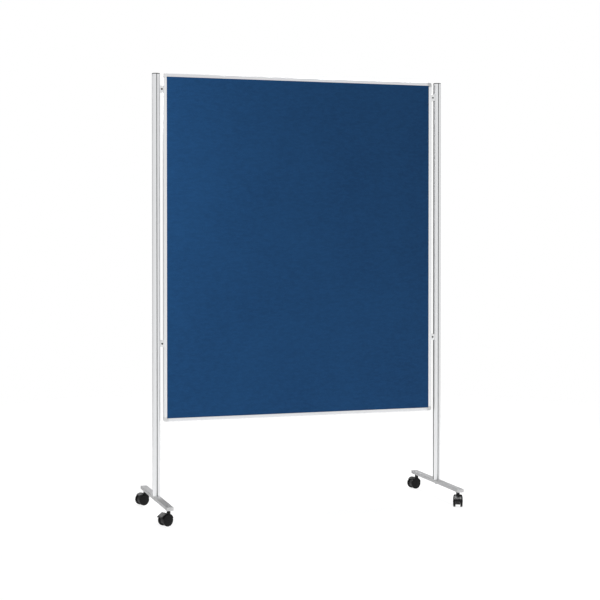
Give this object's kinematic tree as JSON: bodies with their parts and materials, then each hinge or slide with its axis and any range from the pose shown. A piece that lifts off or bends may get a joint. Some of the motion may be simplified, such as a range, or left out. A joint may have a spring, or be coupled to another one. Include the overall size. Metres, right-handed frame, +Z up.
{
  "type": "partition wall",
  "caption": "Mobile partition wall: a felt pin board in a slim aluminium frame, held between two slotted round posts on cross feet with swivel castors.",
  "frame": {"origin": "on the floor under the middle of the board and of the rectangle of the four castor stems; the castors trail to the left and to the front, so the middle of the bounding box lies about 12 mm off", "axes": "+Z up, +X to the right along the board, -Y out of the front of the board"},
  "size_m": [1.3866, 0.5522, 1.9],
  "materials": {
    "anodised_aluminium": "satin",
    "corner_plastic": "satin",
    "cap_plastic": "matte",
    "foot_powder_coat": "satin",
    "end_cap_plastic": "satin",
    "zinc_steel": "satin",
    "socket_plastic": "matte",
    "core_board": "matte",
    "blue_felt": "matte",
    "bracket_alloy": "satin",
    "black_steel": "satin",
    "castor_nylon": "satin",
    "wheel_nylon": "satin",
    "axle_steel": "satin"
  },
  "bodies": {
    "stand": {"left_post": "anodised_aluminium", "right_post": "anodised_aluminium", "left_post_cap": "cap_plastic", "right_post_cap": "cap_plastic", "left_foot_bar": "foot_powder_coat", "right_foot_bar": "foot_powder_coat", "left_foot_end_caps": "end_cap_plastic", "right_foot_end_caps": "end_cap_plastic", "foot_bolts": "zinc_steel", "foot_washers": "zinc_steel", "foot_spacers": "zinc_steel", "castor_sockets": "socket_plastic", "castor_stems": "zinc_steel"},
    "board": {"top_rail": "anodised_aluminium", "bottom_rail": "anodised_aluminium", "left_stile": "anodised_aluminium", "right_stile": "anodised_aluminium", "top_left_corner": "corner_plastic", "top_right_corner": "corner_plastic", "bottom_left_corner": "corner_plastic", "bottom_right_corner": "corner_plastic", "core_panel": "core_board", "front_felt": "blue_felt", "back_felt": "blue_felt", "upper_left_bracket": "bracket_alloy", "upper_right_bracket": "bracket_alloy", "lower_left_bracket": "bracket_alloy", "lower_right_bracket": "bracket_alloy", "slot_nuts": "zinc_steel", "clamp_screws": "black_steel", "bracket_screws": "zinc_steel"},
    "left_front_swivel": {"left_front_castor_hood": "castor_nylon", "left_front_castor_axle": "axle_steel", "left_front_brake_pin": "axle_steel"},
    "left_front_wheel_a": {"left_front_wheel_a": "wheel_nylon"},
    "left_front_wheel_b": {"left_front_wheel_b": "wheel_nylon"},
    "left_front_pedal": {"left_front_brake_pedal": "castor_nylon"},
    "left_rear_swivel": {"left_rear_castor_hood": "castor_nylon", "left_rear_castor_axle": "axle_steel"},
    "left_rear_wheel_a": {"left_rear_wheel_a": "wheel_nylon"},
    "left_rear_wheel_b": {"left_rear_wheel_b": "wheel_nylon"},
    "right_front_swivel": {"right_front_castor_hood": "castor_nylon", "right_front_castor_axle": "axle_steel", "right_front_brake_pin": "axle_steel"},
    "right_front_wheel_a": {"right_front_wheel_a": "wheel_nylon"},
    "right_front_wheel_b": {"right_front_wheel_b": "wheel_nylon"},
    "right_front_pedal": {"right_front_brake_pedal": "castor_nylon"},
    "right_rear_swivel": {"right_rear_castor_hood": "castor_nylon", "right_rear_castor_axle": "axle_steel"},
    "right_rear_wheel_a": {"right_rear_wheel_a": "wheel_nylon"},
    "right_rear_wheel_b": {"right_rear_wheel_b": "wheel_nylon"}
  },
  "joints": [
    {"name": "board_height", "type": "slide", "parent": "stand", "child": "board", "axis": [0, 0, 1], "range_m": [-0.3, 0]},
    {"name": "left_front_swivel_turn", "type": "hinge", "parent": "stand", "child": "left_front_swivel", "pos_m": [-0.6565, -0.235, 0.055], "axis": [0, 0, 1], "continuous": true},
    {"name": "left_front_wheel_a_spin", "type": "hinge", "parent": "left_front_swivel", "child": "left_front_wheel_a", "pos_m": [-0.67088, -0.24201, 0.025], "axis": [0.4384, -0.8988, 0], "continuous": true},
    {"name": "left_front_wheel_b_spin", "type": "hinge", "parent": "left_front_swivel", "child": "left_front_wheel_b", "pos_m": [-0.67088, -0.24201, 0.025], "axis": [0.4384, -0.8988, 0], "continuous": true},
    {"name": "left_front_brake_press", "type": "hinge", "parent": "left_front_swivel", "child": "left_front_pedal", "pos_m": [-0.67519, -0.24412, 0.0515], "axis": [0.4384, -0.8988, 0], "range_deg": [0, 9]},
    {"name": "left_rear_swivel_turn", "type": "hinge", "parent": "stand", "child": "left_rear_swivel", "pos_m": [-0.6565, 0.235, 0.055], "axis": [0, 0, 1], "continuous": true},
    {"name": "left_rear_wheel_a_spin", "type": "hinge", "parent": "left_rear_swivel", "child": "left_rear_wheel_a", "pos_m": [-0.67153, 0.22953, 0.025], "axis": [0.342, -0.9397, 0], "continuous": true},
    {"name": "left_rear_wheel_b_spin", "type": "hinge", "parent": "left_rear_swivel", "child": "left_rear_wheel_b", "pos_m": [-0.67153, 0.22953, 0.025], "axis": [0.342, -0.9397, 0], "continuous": true},
    {"name": "right_front_swivel_turn", "type": "hinge", "parent": "stand", "child": "right_front_swivel", "pos_m": [0.6565, -0.235, 0.055], "axis": [0, 0, 1], "continuous": true},
    {"name": "right_front_wheel_a_spin", "type": "hinge", "parent": "right_front_swivel", "child": "right_front_wheel_a", "pos_m": [0.64974, -0.2495, 0.025], "axis": [0.9063, -0.4226, 0], "continuous": true},
    {"name": "right_front_wheel_b_spin", "type": "hinge", "parent": "right_front_swivel", "child": "right_front_wheel_b", "pos_m": [0.64974, -0.2495, 0.025], "axis": [0.9063, -0.4226, 0], "continuous": true},
    {"name": "right_front_brake_press", "type": "hinge", "parent": "right_front_swivel", "child": "right_front_pedal", "pos_m": [0.64771, -0.25385, 0.0515], "axis": [0.9063, -0.4226, 0], "range_deg": [0, 9]},
    {"name": "right_rear_swivel_turn", "type": "hinge", "parent": "stand", "child": "right_rear_swivel", "pos_m": [0.6565, 0.235, 0.055], "axis": [0, 0, 1], "continuous": true},
    {"name": "right_rear_wheel_a_spin", "type": "hinge", "parent": "right_rear_swivel", "child": "right_rear_wheel_a", "pos_m": [0.64085, 0.23167, 0.025], "axis": [0.2079, -0.9781, 0], "continuous": true},
    {"name": "right_rear_wheel_b_spin", "type": "hinge", "parent": "right_rear_swivel", "child": "right_rear_wheel_b", "pos_m": [0.64085, 0.23167, 0.025], "axis": [0.2079, -0.9781, 0], "continuous": true}
  ]
}
